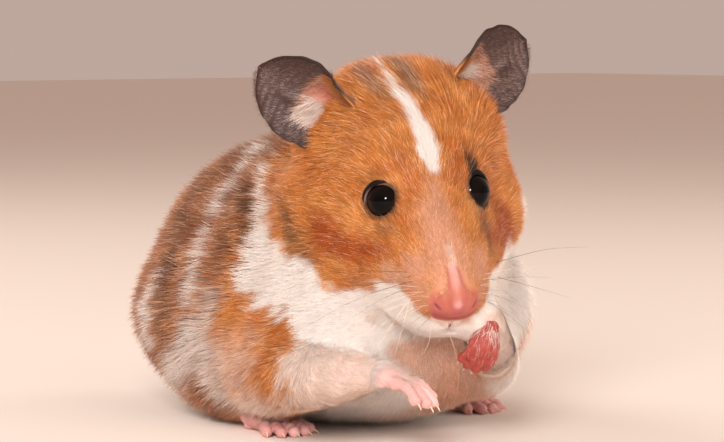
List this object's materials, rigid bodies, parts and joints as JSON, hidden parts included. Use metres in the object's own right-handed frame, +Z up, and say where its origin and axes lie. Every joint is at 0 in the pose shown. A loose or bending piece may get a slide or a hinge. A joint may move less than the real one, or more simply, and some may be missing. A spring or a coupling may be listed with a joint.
{
  "type": "syrian hamster",
  "caption": "Life-size still model of a Syrian hamster with an orange, brown and white coat, sitting hunched with its forepaws held before its chest.",
  "frame": {"origin": "centre of the footprint box, at the floor", "axes": "+Z up; the trunk faces -Y, so the animal's own left is +X; its head turns towards its right, -X"},
  "size_m": [0.0668, 0.111, 0.0762],
  "materials": {
    "coat": "short soft fur, golden orange with brown and cream white markings",
    "pink_skin": "bare or thinly haired pink skin",
    "ear_skin": "thin dark skin with fine short hairs",
    "eye": "wet black gloss",
    "claw": "smooth pale horn"
  },
  "bodies": {
    "root": {"head": "coat", "neck": "coat", "trunk": "coat", "nose": "pink_skin", "tail": "pink_skin", "ear_right": "ear_skin", "eye_right": "eye", "foreleg_right": "coat", "hindleg_right": "coat", "forefoot_right": "pink_skin", "hindfoot_right": "pink_skin", "claw_fore_right_1": "claw", "claw_fore_right_2": "claw", "claw_fore_right_3": "claw", "claw_fore_right_4": "claw", "claw_hind_right_1": "claw", "claw_hind_right_2": "claw", "claw_hind_right_3": "claw", "claw_hind_right_4": "claw", "claw_hind_right_5": "claw", "ear_left": "ear_skin", "eye_left": "eye", "foreleg_left": "coat", "hindleg_left": "coat", "forefoot_left": "pink_skin", "hindfoot_left": "pink_skin", "claw_fore_left_1": "claw", "claw_fore_left_2": "claw", "claw_fore_left_3": "claw", "claw_fore_left_4": "claw", "claw_hind_left_1": "claw", "claw_hind_left_2": "claw", "claw_hind_left_3": "claw", "claw_hind_left_4": "claw", "claw_hind_left_5": "claw"}
  },
  "joints": []
}
